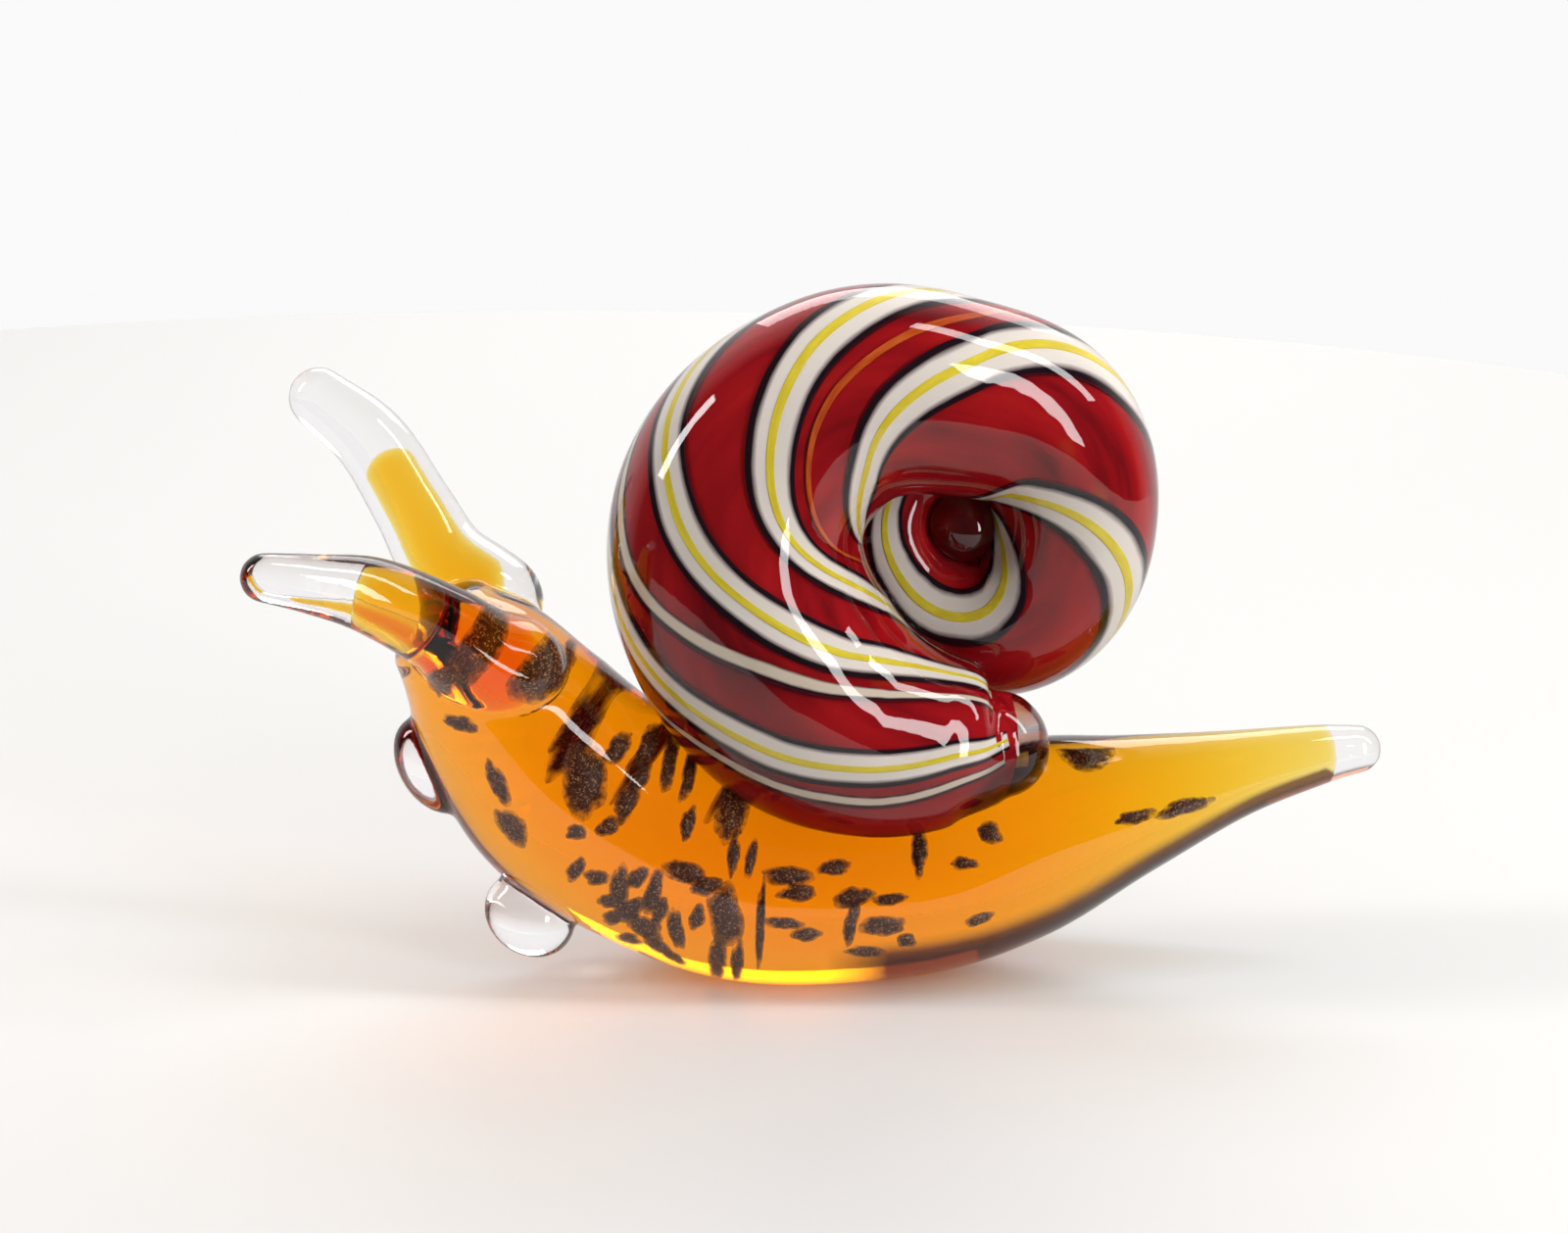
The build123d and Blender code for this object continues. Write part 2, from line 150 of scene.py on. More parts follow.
# Middle of the body from tail to head, as shares of its sizes: towards the tail, up, half
# depth, half width
BODY_ROWS = (
    (0.962, 0.596, 0.23, 0.21),
    (0.895, 0.580, 0.29, 0.28),
    (0.758, 0.530, 0.42, 0.41),
    (0.595, 0.454, 0.665, 0.60),
    (0.431, 0.374, 0.93, 0.79),
    (0.266, 0.270, 0.94, 0.93),
    (0.099, 0.240, 0.966, 0.99),
    (-0.067, 0.256, 1.005, 1.02),
    (-0.215, 0.352, 1.06, 1.00),
    (-0.347, 0.492, 1.11, 0.94),
    (-0.437, 0.655, 1.00, 0.87),
    (-0.504, 0.804, 0.82, 0.81),
    (-0.564, 0.914, 0.57, 0.72),
)

# Middle of each horn from root to tip, as shares of its sizes: forward, sideways, up, half
# thickness
NEAR_HORN_ROWS = (
    (0.00, 0.20, 0.00, 1.06),
    (0.17, 0.34, 0.16, 1.00),
    (0.33, 0.50, 0.47, 0.82),
    (0.54, 0.72, 0.77, 0.70),
    (0.73, 0.89, 0.91, 0.54),
    (0.88, 1.00, 0.99, 0.44),
)
FAR_HORN_ROWS = (
    (0.00, 0.18, 0.00, 1.06),
    (0.20, 0.38, 0.20, 0.98),
    (0.38, 0.54, 0.34, 0.87),
    (0.50, 0.66, 0.54, 0.77),
    (0.66, 0.80, 0.79, 0.71),
    (0.86, 0.93, 0.95, 0.59),
)

# The shell's coil: turn in degrees, then shares of its radius, half its tube and its pitch
COIL_ROWS = (
    (-32.0, 0.640, 0.06, 0.000),
    (-24.0, 0.615, 0.16, 0.000),
    (-16.0, 0.619, 0.34, 0.000),
    (-9.0, 0.616, 0.50, 0.000),
    (0.0, 0.600, 0.67, 0.000),
    (22.5, 0.612, 0.88, 0.060),
    (45.0, 0.618, 0.99, 0.125),
    (90.0, 0.600, 0.995, 0.250),
    (135.0, 0.470, 0.868, 0.375),
    (180.0, 0.350, 0.778, 0.500),
    (225.0, 0.350, 0.725, 0.625),
    (270.0, 0.340, 0.65, 0.750),
    (315.0, 0.351, 0.64, 0.910),
    (337.0, 0.340, 0.62, 0.980),
    (360.0, 0.305, 0.57, 1.020),
    (405.0, 0.212, 0.46, 1.060),
    (450.0, 0.160, 0.38, 1.080),
    (495.0, 0.130, 0.33, 1.100),
    (540.0, 0.100, 0.28, 1.100),
)

# Bands on the coil, in degrees: turn, angle round the tube from outwards to the front, spread
CANES = (
    (
        (-14.0, 112.0, 22.0),
        (0.0, 98.0, 22.0),
        (30.0, 78.0, 23.0),
        (52.0, 57.0, 24.0),
        (71.0, 28.0, 26.0),
        (92.0, -5.0, 28.0),
        (150.0, -98.0, 38.0),
        (215.0, -209.0, 48.0),
        (240.0, -238.0, 54.0),
        (270.0, -291.0, 58.0),
        (289.0, -321.0, 56.0),
        (310.0, -346.0, 52.0),
        (360.0, -378.0, 46.0),
        (400.0, -395.0, 40.0),
    ),
    (
        (-14.0, 172.0, 22.0),
        (8.0, 156.0, 22.0),
        (30.0, 139.0, 23.0),
        (56.0, 116.0, 25.0),
        (76.0, 93.0, 27.0),
        (95.0, 56.0, 29.0),
        (108.0, 24.0, 31.0),
        (122.0, -2.0, 33.0),
        (180.0, -82.0, 40.0),
        (240.0, -158.0, 46.0),
        (291.0, -212.0, 46.0),
        (339.0, -247.0, 50.0),
        (394.0, -268.0, 52.0),
        (475.0, -290.0, 40.0),
    ),
    (
        (-14.0, 222.0, 22.0),
        (20.0, 194.0, 22.0),
        (49.0, 168.0, 24.0),
        (82.0, 133.0, 27.0),
        (108.0, 93.0, 30.0),
        (128.0, 60.0, 35.0),
        (145.0, 34.0, 39.0),
        (162.0, 8.0, 42.0),
        (200.0, -40.0, 46.0),
        (260.0, -110.0, 50.0),
        (320.0, -166.0, 46.0),
        (345.0, -186.0, 43.0),
    ),
    (
        (-14.0, 318.0, 22.0),
        (40.0, 262.0, 24.0),
        (80.0, 210.0, 28.0),
        (100.0, 177.0, 30.0),
        (125.0, 137.0, 34.0),
        (149.0, 97.0, 38.0),
        (180.0, 56.0, 42.0),
        (201.0, 34.0, 46.0),
        (222.0, 13.0, 50.0),
        (240.0, -6.0, 54.0),
        (300.0, -72.0, 54.0),
        (366.0, -130.0, 46.0),
        (400.0, -152.0, 38.0),
    ),
)
THIN_CANES = (
    (
        (-14.0, 150.0, 6.0),
        (3.0, 138.0, 6.0),
        (32.0, 117.0, 8.0),
        (57.0, 91.0, 11.0),
        (70.0, 67.0, 12.0),
        (82.0, 37.0, 12.0),
        (92.0, 19.0, 10.0),
        (104.0, 0.0, 8.0),
        (120.0, -26.0, 6.0),
    ),
    (
        (-12.0, 88.0, 8.0),
        (2.0, 75.0, 8.0),
        (15.0, 66.0, 8.0),
        (28.0, 59.0, 8.0),
        (44.0, 46.0, 8.0),
        (53.0, 33.0, 8.0),
        (62.0, 12.0, 7.0),
        (75.0, -18.0, 6.0),
    ),
)
ORANGE_THREAD = (
    (60.0, 190.0, 3.5),
    (96.0, 138.0, 3.5),
    (113.0, 110.0, 3.5),
    (128.0, 86.0, 4.0),
    (147.0, 63.0, 4.5),
    (161.0, 45.0, 5.0),
    (184.0, 17.0, 5.0),
    (220.0, -28.0, 5.0),
    (300.0, -115.0, 5.0),
    (366.0, -166.0, 4.0),
)

# Chips as seen from the front, in millimetres: across, up, half length, half height, and
# tilt in degrees
NEAR_CHIPS = (
    (-54.6, 44.0, 4.0, 1.6, 115),
    (-51.8, 35.5, 3.8, 2.5, 130),
    (-37.8, 44.0, 7.0, 3.4, 95),
    (-32.0, 49.5, 2.8, 1.9, 30),
    (-26.4, 49.0, 2.8, 1.6, 60),
    (-27.5, 44.0, 2.6, 1.5, 45),
    (-22.3, 46.0, 4.6, 1.5, 80),
    (-18.5, 43.5, 4.0, 1.3, 72),
    (-30.0, 40.0, 3.6, 1.8, 60),
    (-33.5, 36.0, 2.2, 1.6, 20),
    (-39.5, 35.0, 2.0, 1.5, 0),
    (-18.5, 35.5, 2.6, 1.3, 80),
    (-9.9, 37.5, 5.0, 2.8, 60),
    (-39.5, 27.5, 2.8, 1.4, 60),
    (-35.5, 26.0, 2.4, 1.5, 0),
    (-31.5, 23.5, 5.2, 1.8, 85),
    (-28.0, 26.5, 2.4, 1.6, 50),
    (-24.8, 23.5, 4.2, 1.6, 75),
    (-27.0, 15.5, 3.8, 2.2, -25),
    (-20.6, 15.5, 4.8, 1.5, 95),
    (-30.0, 12.0, 2.4, 1.5, 0),
    (-18.7, 27.5, 4.4, 2.0, -20),
    (-14.8, 24.5, 2.6, 1.5, 10),
    (-10.9, 18.5, 6.8, 3.0, 95),
    (-12.7, 8.0, 5.8, 1.8, 90),
    (-9.0, 8.0, 5.2, 1.2, 88),
    (-4.5, 15.5, 9.0, 0.8, 88),
    (-9.8, 29.5, 3.4, 1.1, 85),
    (-6.5, 28.5, 2.8, 1.1, 80),
    (0.9, 26.0, 4.4, 1.5, 0),
    (9.3, 27.0, 3.4, 1.2, 5),
    (2.8, 23.0, 3.2, 1.4, 0),
    (13.0, 21.8, 3.4, 1.7, 10),
    (20.3, 21.6, 2.8, 1.1, 5),
    (0.0, 17.3, 3.6, 1.1, -5),
    (4.0, 15.0, 2.8, 1.4, 0),
    (12.8, 17.5, 4.8, 1.2, 80),
    (19.0, 16.4, 4.0, 1.8, 0),
    (23.5, 13.0, 1.8, 1.5, 0),
    (15.5, 11.0, 3.2, 1.3, 0),
    (25.8, 29.3, 3.8, 1.5, 90),
    (34.7, 27.9, 2.6, 1.1, 0),
    (39.3, 33.0, 2.2, 1.7, 0),
    (37.5, 17.0, 2.6, 1.1, 15),
    (67.0, 35.5, 3.6, 1.3, 10),
    (77.5, 37.0, 5.4, 1.4, 14),
    (58.5, 45.5, 5.0, 2.2, -5),
    (-59.0, 71.0, 6.4, 4.4, 60),
    (-45.8, 65.0, 6.0, 4.2, 30),
    (-61.7, 55.5, 3.0, 1.6, -10),
    (-64.0, 65.0, 4.2, 2.4, 70),
    (-32.5, 17.5, 2.6, 1.4, 40),
    (-29.0, 19.5, 3.2, 1.8, 60),
    (-23.5, 19.5, 3.0, 1.4, 70),
    (-24.0, 11.0, 3.0, 1.6, -40),
    (-21.0, 8.5, 2.6, 1.3, -35),
    (-33.5, 21.0, 2.4, 1.3, 20),
    (-16.5, 18.5, 2.8, 1.4, 80),
)
FAR_CHIPS = (
    (-52.0, 52.0, 4.0, 2.0, 70),
    (-46.0, 40.0, 4.4, 2.4, 100),
    (-38.0, 50.0, 3.6, 2.4, 30),
    (-34.0, 32.0, 4.0, 1.8, 60),
    (-24.0, 33.0, 4.6, 2.2, 85),
    (-16.0, 20.0, 3.6, 2.0, 20),
    (-4.0, 33.0, 3.4, 1.6, 0),
    (7.0, 20.0, 4.0, 1.6, 5),
    (18.0, 30.0, 3.4, 1.6, -10),
    (29.0, 22.0, 3.6, 1.4, 8),
    (48.0, 28.0, 3.4, 1.2, 16),
)


def between(rows, place):
    """The row of a table at a place in its first column, eased smoothly between its rows."""
    last = len(rows) - 1
    at = min(max(sum(row[0] <= place for row in rows) - 1, 0), last - 1)
    before, start, end, after = rows[max(at - 1, 0)], rows[at], rows[at + 1], rows[min(at + 2, last)]
    span = end[0] - start[0]
    t = (place - start[0]) / span
    values = []
    for column in range(1, len(start)):
        slope_in = (end[column] - before[column]) / (end[0] - before[0]) * span
        slope_out = (after[column] - start[column]) / (after[0] - start[0]) * span
        rise = end[column] - start[column]
        bend = slope_in + slope_out - 2 * rise
        turn = 3 * rise - 2 * slope_in - slope_out
        values.append(start[column] + t * (slope_in + t * (turn + t * bend)))
    return values


def numbered(rows):
    """Rows with their own numbers as a first column."""
    return tuple((float(number), *row) for number, row in enumerate(rows))


BODY_TABLE = numbered(BODY_ROWS)
NEAR_HORN = (numbered(NEAR_HORN_ROWS), NEAR, NEAR_HORN_RISE)
FAR_HORN = (numbered(FAR_HORN_ROWS), FAR, FAR_HORN_RISE)
LAST_BODY_ROW = len(BODY_ROWS) - 1
LAST_HORN_ROW = len(NEAR_HORN_ROWS) - 1


# Meshes


def skin(steps, around, place, merge=MERGE):
    """A grid bent so that place gives each point in millimetres, its meeting edges merged."""
    bm = bmesh.new()
    bm.loops.layers.uv.new("Glass")
    bmesh.ops.create_grid(bm, x_segments=steps, y_segments=around, size=0.5, calc_uvs=True)
    for vert in bm.verts:
        vert.co = place(vert.co.x + 0.5, vert.co.y + 0.5) * MM
    if merge:
        bmesh.ops.remove_doubles(bm, verts=bm.verts, dist=merge * MM)
    bmesh.ops.recalc_face_normals(bm, faces=bm.faces)
    return bm


def piece(name, bm, material, *nodes, slot):
    """Makes a finished mesh a piece of the object that stands for these CAD nodes."""
    for face in bm.faces:
        face.smooth = True
    mesh = bpy.data.meshes.new(name)
    bm.to_mesh(mesh)
    bm.free()
    mesh.materials.append(material)
    made = bpy.data.objects.new(name, mesh)
    bpy.context.scene.collection.objects.link(made)
    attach(made, "root")
    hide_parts(*nodes)


def capped(u, cap):
    """Splits a run into its start cap, its length and its end cap: place on the run, then how far
    out along a cap and how wide it is there."""
    if u < cap:
        angle = (1 - u / cap) * pi / 2
        return 0.0, -sin(angle), cos(angle)
    if u > 1 - cap:
        angle = (u - 1 + cap) / cap * pi / 2
        return 1.0, sin(angle), cos(angle)
    return (u - cap) / (1 - 2 * cap), 0.0, 1.0


def ring_point(centre, along, side, across, up, v):
    """A point on an ellipse round a line, its first axis along the side."""
    forward = along.normalized()
    first = (side - side.dot(forward) * forward).normalized()
    second = forward.cross(first)
    angle = 2 * pi * v
    return centre + first * (across * cos(angle)) + second * (up * sin(angle))


def body_at(place):
    """Middle, half width and half depth of the body at a row of its table."""
    tailward, up, half_depth, half_width = between(BODY_TABLE, place)
    middle = Vector((BODY_REACH * tailward, 0.0, BODY_RISE * up))
    return middle, BODY_WIDTH / 2 * half_width, BODY_DEPTH / 2 * half_depth


def body_skin(inset, first_row, lift=0.0, steps=220, around=96):
    """The body's outside, as much smaller all round as the inset, and lifted."""

    def place(u, v):
        run, out, share = capped(u, BODY_CAP)
        at = first_row + run * (LAST_BODY_ROW - first_row)
        middle, width, depth = body_at(at)
        before = body_at(max(at - ROW_STEP, first_row))[0]
        along = body_at(min(at + ROW_STEP, LAST_BODY_ROW))[0] - before
        end = (TAIL_END if out < 0 else HEAD_END) - inset
        middle = middle + along.normalized() * (out * end) + Vector((0, 0, lift))
        return ring_point(middle, along, SIDEWAYS, (width - inset) * share, (depth - inset) * share, v)

    return skin(steps, around, place)


def horn_at(horn, at):
    """Middle and half thickness share of a horn at a row of its table."""
    rows, side, rise = horn
    forward, sideways, up, half = between(rows, at)
    return HORN_ROOT + Vector((-HORN_REACH * forward, side * HORN_SPREAD * sideways, rise * up)), half


def horn_skin(horn, thickness, first, last, steps=150, around=72):
    """A horn's outside between two rows of its table, rounded at both ends."""

    def place(u, v):
        run, out, share = capped(u, HORN_CAP)
        at = first + run * (last - first)
        middle, half = horn_at(horn, at)
        before = horn_at(horn, max(at - ROW_STEP, first))[0]
        along = horn_at(horn, min(at + ROW_STEP, last))[0] - before
        radius = thickness / 2 * half
        middle = middle + along.normalized() * (out * radius)
        return ring_point(middle, along, SIDEWAYS, radius * share, radius * share, v)

    return skin(steps, around, place)


def drop_skin(length, width, shares, lean, steps=60, around=48):
    """A rounded drop of glass on the front of the neck."""
    middle = Vector((BODY_REACH * shares[0], -DROP_SIDE, BODY_RISE * shares[1]))
    long_axis = Vector((-sin(radians(lean)), 0, cos(radians(lean))))

    def place(u, v):
        angle = pi * (u - 0.5)
        centre = middle + long_axis * (length / 2 * sin(angle))
        radius = width / 2 * cos(angle)
        return ring_point(centre, long_axis, SIDEWAYS, radius, radius, v)

    return skin(steps, around, place)


def ball_skin(centre, radius, steps=48, around=64):
    """A ball, its poles at the front and the back."""

    def place(u, v):
        angle = pi * (u - 0.5)
        middle = centre + Vector((0, radius * sin(angle), 0))
        girth = radius * cos(angle)
        return ring_point(middle, SIDEWAYS, Vector((1, 0, 0)), girth, girth, v)

    return skin(steps, around, place)


def coil_outward(turn):
    """The direction from the shell's centre to a turn of its coil."""
    return Vector((-sin(radians(turn)), 0, -cos(radians(turn))))


def coil_middle(turn):
    """The middle of the coiled tube at a turn."""
    away, _, depth = between(COIL_ROWS, turn)
    centre = Vector((SHELL_CENTRE[0], SHELL_PITCH * depth - SHELL_FRONT, SHELL_CENTRE[1]))
    return centre + coil_outward(turn) * SHELL_RADIUS * away


def coil_radius(turn):
    """The coiled tube's own radius at a turn."""
    return SHELL_TUBE / 2 * between(COIL_ROWS, turn)[1]


def coil_axes(turn):
    """Directions at a turn of the coil: outwards, to the front, and along it."""
    outward = coil_outward(turn)
    along = (coil_middle(turn + 1) - coil_middle(turn - 1)).normalized()
    first = (outward - outward.dot(along) * along).normalized()
    return first, along.cross(first), along


def on_coil(turn, angle, radius):
    """A point round the coiled tube, at an angle from outwards towards the front."""
    first, second, _ = coil_axes(turn)
    return coil_middle(turn) + first * (radius * cos(angle)) + second * (radius * sin(angle))


def coil_skin(inset, start_turn, flatness, steps=300, around=72):
    """The coiled tube's outside, rounded at the lip and at the tip, its seam at the back."""

    def place(u, v):
        run, out, share = capped(u, COIL_CAP)
        turn = start_turn + run * (TIP_TURN - start_turn)
        radius = coil_radius(turn) - inset
        ahead = coil_axes(turn)[2] * (out * radius * flatness)
        return on_coil(turn, 2 * pi * v - pi / 2, radius * share) + ahead

    return skin(steps, around, place)


def band_skin(rows, inset, wall, share=1.0, steps=260, across=10):
    """A band laid along the coil, as wide as a share of its table's spread."""
    first, last = rows[0][0], rows[-1][0]

    def place(u, v):
        turn = first + u * (last - first)
        middle, spread = between(rows, turn)
        angle = radians(middle + (v - 0.5) * spread * share)
        return on_coil(turn, angle, coil_radius(turn) - inset)

    bm = skin(steps, across, place, merge=0)
    bm.faces.ensure_lookup_table()
    face = bm.faces[0]
    if (face.calc_center_median() - coil_middle(first) * MM).dot(face.normal) < 0:
        bmesh.ops.reverse_faces(bm, faces=bm.faces)
    bmesh.ops.solidify(bm, geom=bm.faces[:], thickness=wall * MM)
    bmesh.ops.recalc_face_normals(bm, faces=bm.faces)
    return bm


def on_side(across, up, side, inset):
    """The point of the body's side, under its skin, that is seen at a place from the front."""
    seen = Vector((across, 0.0, up))
    low, high = 0.0, float(LAST_BODY_ROW)
    for _ in range(SEARCH_HALVINGS):
        place = (low + high) / 2
        middle = body_at(place)[0]
        along = body_at(place + ROW_STEP)[0] - body_at(place - ROW_STEP)[0]
        if (seen - middle).dot(along) > 0:
            low = place
        else:
            high = place
    middle, width, depth = body_at(place)
    top = along.normalized().cross(SIDEWAYS)
    rise = min(max((seen - middle).dot(top) / (depth - inset), -SIDE_LIMIT), SIDE_LIMIT)
    reach = (width - inset) * sqrt(1 - rise**2)
    return middle + top * (rise * (depth - inset)) + Vector((0, side, 0)) * reach


def raggedness(angle, phase):
    """How far a chip's edge reaches at an angle, in slow waves and finer teeth."""
    wave = noise.noise(Vector((cos(angle), sin(angle), phase)))
    teeth = noise.noise(Vector((cos(angle) * TEETH_STEP, sin(angle) * TEETH_STEP, phase)))
    return CHIP_GROWTH + CHIP_WAVE * wave + CHIP_TEETH * teeth


def chip_skins(chips, side):
    """Thin ragged chips lying between the core and the casing on one side of the body."""
    draw = random.Random(SEED + side)
    bm = bmesh.new()
    rim = bm.loops.layers.uv.new("Glass")
    for across, up, half_length, half_height, tilt in chips:
        made = bmesh.ops.create_circle(
            bm, cap_ends=True, cap_tris=True, segments=CHIP_POINTS, radius=1.0
        )
        phase = draw.uniform(0, PHASES)
        for vert in made["verts"]:
            for loop in vert.link_loops:
                loop[rim].uv = (vert.co.length, phase)
            ragged = raggedness(atan2(vert.co.y, vert.co.x), phase)
            flat_x = vert.co.x * ragged * half_length
            flat_y = vert.co.y * ragged * half_height
            turned_x = flat_x * cos(radians(tilt)) - flat_y * sin(radians(tilt))
            turned_y = flat_x * sin(radians(tilt)) + flat_y * cos(radians(tilt))
            vert.co = (across + turned_x, up + turned_y, 0.0)
    back = bmesh.ops.extrude_face_region(bm, geom=bm.faces[:], use_keep_orig=True)["geom"]
    back = [part for part in back if isinstance(part, bmesh.types.BMVert)]
    bmesh.ops.translate(bm, verts=back, vec=(0, 0, CHIP_WALL))
    for vert in bm.verts:
        vert.co = on_side(vert.co.x, vert.co.y, side, CHIP_INSET + vert.co.z) * MM
    bmesh.ops.recalc_face_normals(bm, faces=bm.faces)
    return bm


def joined(name, parts, polish, foot=False):
    """One closed mesh round overlapping ones, smoothed where they meet, ground flat if it has a foot."""
    whole = bmesh.new()
    for part in parts:
        held = bpy.data.meshes.new(name)
        part.to_mesh(held)
        part.free()
        whole.from_mesh(held)
        bpy.data.meshes.remove(held)
    mesh = bpy.data.meshes.new(name)
    whole.to_mesh(mesh)
    whole.free()
    holder = bpy.data.objects.new(name, mesh)
    bpy.context.scene.collection.objects.link(holder)
    remesh = holder.modifiers.new("Fuse", "REMESH")
    remesh.mode = "VOXEL"
    remesh.voxel_size = VOXEL * MM
    smooth = holder.modifiers.new("Fire polish", "SMOOTH")
    smooth.factor = 0.5
    smooth.iterations = polish
    shown = holder.evaluated_get(bpy.context.evaluated_depsgraph_get())
    bm = bmesh.new()
    bm.from_mesh(shown.to_mesh())
    shown.to_mesh_clear()
    bpy.data.objects.remove(holder)
    bpy.data.meshes.remove(mesh)
    if foot:
        geom = bm.verts[:] + bm.edges[:] + bm.faces[:]
        ground = (0, 0, FOOT_HEIGHT * MM)
        cut = bmesh.ops.bisect_plane(
            bm, geom=geom, plane_co=ground, plane_no=(0, 0, 1), clear_inner=True
        )
        edges = [part for part in cut["geom_cut"] if isinstance(part, bmesh.types.BMEdge)]
        bmesh.ops.edgeloop_fill(bm, edges=edges)
    bmesh.ops.recalc_face_normals(bm, faces=bm.faces)
    return bm


# Shader nodes


def new_material(name):
    """An empty material, its node tree and its output."""
    material = bpy.data.materials.new(name)
    material.use_nodes = True
    tree = material.node_tree
    tree.nodes.clear()
    output = tree.nodes.new("ShaderNodeOutputMaterial")
    return material, tree, output


def new_group(name, inputs, outputs):
    """An empty node group with these number sockets."""
    group = bpy.data.node_groups.new(name, "ShaderNodeTree")
    for title in inputs:
        group.interface.new_socket(title, in_out="INPUT", socket_type="NodeSocketFloat")
    for title in outputs:
        group.interface.new_socket(title, in_out="OUTPUT", socket_type="NodeSocketFloat")
    return group


def ranged(nodes, start, end, low=0.0, high=1.0, smooth=False):
    """A node that turns values from start to end into values from low to high."""
    made = nodes.new("ShaderNodeMapRange")
    if smooth:
        made.interpolation_type = "SMOOTHSTEP"
    made.inputs["From Min"].default_value = start
    made.inputs["From Max"].default_value = end
    made.inputs["To Min"].default_value = low
    made.inputs["To Max"].default_value = high
    return made


def maths(nodes, operation, second=None):
    """A node that reckons with two values, the second one fixed if it is given."""
    made = nodes.new("ShaderNodeMath")
    made.operation = operation
    if second is not None:
        made.inputs[1].default_value = second
    return made


def colour_mix(nodes, second, first=None):
    """A mix of two colours, the first one left to a link if it isn't given."""
    made = nodes.new("ShaderNodeMix")
    made.data_type = "RGBA"
    if first:
        made.inputs["A"].default_value = (*first, 1.0)
    made.inputs["B"].default_value = (*second, 1.0)
    return made


def clouds(nodes, scale, detail=2.0, distortion=0.0):
    """A noise as fine as its scale."""
    made = nodes.new("ShaderNodeTexNoise")
    made.inputs["Scale"].default_value = scale
    made.inputs["Detail"].default_value = detail
    made.inputs["Distortion"].default_value = distortion
    return made


def own_map(nodes):
    """A piece's own map, that runs along it and across it."""
    made = nodes.new("ShaderNodeUVMap")
    made.uv_map = "Glass"
    return made


def drawn_noise(tree, along, across, detail):
    """Noise drawn out along a piece's own length, as gathered glass is."""
    uv = own_map(tree.nodes)
    stretch = tree.nodes.new("ShaderNodeMapping")
    stretch.inputs["Scale"].default_value = (along, across, 1.0)
    cloud = clouds(tree.nodes, scale=1.0, detail=detail)
    tree.links.new(uv.outputs[0], stretch.inputs["Vector"])
    tree.links.new(stretch.outputs[0], cloud.inputs["Vector"])
    return cloud


def ramp_of(tree, stops):
    """A colour ramp through the given places and colours."""
    ramp = tree.nodes.new("ShaderNodeValToRGB")
    elements = ramp.color_ramp.elements
    elements[0].position, elements[0].color = stops[0][0], (*stops[0][1], 1)
    elements[1].position, elements[1].color = stops[-1][0], (*stops[-1][1], 1)
    for position, colour in stops[1:-1]:
        elements.new(position).color = (*colour, 1)
    return ramp


# Clear glass

WAVE_SIZE = 45.0
SMUDGES = 0.02

# Where a painted shade starts and where it is full: how far the surface turns away or faces down, and
# metres
RIM_RANGE = (0.62, 0.97)
DOWN_RANGE = (-0.36, -0.60)
REAR_RANGE = (0.008, 0.020)
LIP_RANGE = (0.016, 0.010)
LIP_PLACE = (0.044, -0.010, 0.038)


def glass_group():
    """Slow waves of a hand-worked surface and the faint smudges left on it."""
    group = new_group(
        "Hand worked glass", ("Wave size", "Wave height", "Smudges"), ("Height", "Roughness")
    )
    nodes, links = group.nodes, group.links
    enter = nodes.new("NodeGroupInput")
    leave = nodes.new("NodeGroupOutput")
    where = nodes.new("ShaderNodeTexCoord")
    wave = clouds(nodes, scale=WAVE_SIZE, detail=1.0)
    height = maths(nodes, "MULTIPLY")
    smear = clouds(nodes, scale=55.0, detail=6.0, distortion=1.5)
    rough = ranged(nodes, start=0.55, end=0.8)
    links.new(where.outputs["Object"], wave.inputs["Vector"])
    links.new(enter.outputs["Wave size"], wave.inputs["Scale"])
    links.new(wave.outputs["Fac"], height.inputs[0])
    links.new(enter.outputs["Wave height"], height.inputs[1])
    links.new(height.outputs[0], leave.inputs["Height"])
    links.new(where.outputs["Object"], smear.inputs["Vector"])
    links.new(smear.outputs["Fac"], rough.inputs["Value"])
    links.new(enter.outputs["Smudges"], rough.inputs["To Max"])
    links.new(rough.outputs["Result"], leave.inputs["Roughness"])
    return group


def painted_underside_shade_group():
    """Where painted shade darkens the glass: where it faces down between the middle of the body and the
    tail.
    """
    group = new_group("Painted underside shade", (), ("Mask",))
    nodes, links = group.nodes, group.links
    leave = nodes.new("NodeGroupOutput")
    facing = nodes.new("ShaderNodeNewGeometry")
    where = nodes.new("ShaderNodeTexCoord")
    lower = nodes.new("ShaderNodeSeparateXYZ")
    along = nodes.new("ShaderNodeSeparateXYZ")
    downward = ranged(nodes, *DOWN_RANGE, smooth=True)
    rearward = ranged(nodes, *REAR_RANGE)
    both = maths(nodes, "MULTIPLY")
    links.new(facing.outputs["Normal"], lower.inputs[0])
    links.new(lower.outputs["Z"], downward.inputs["Value"])
    links.new(where.outputs["Object"], along.inputs[0])
    links.new(along.outputs["X"], rearward.inputs["Value"])
    links.new(downward.outputs[0], both.inputs[0])
    links.new(rearward.outputs[0], both.inputs[1])
    links.new(both.outputs[0], leave.inputs["Mask"])
    return group


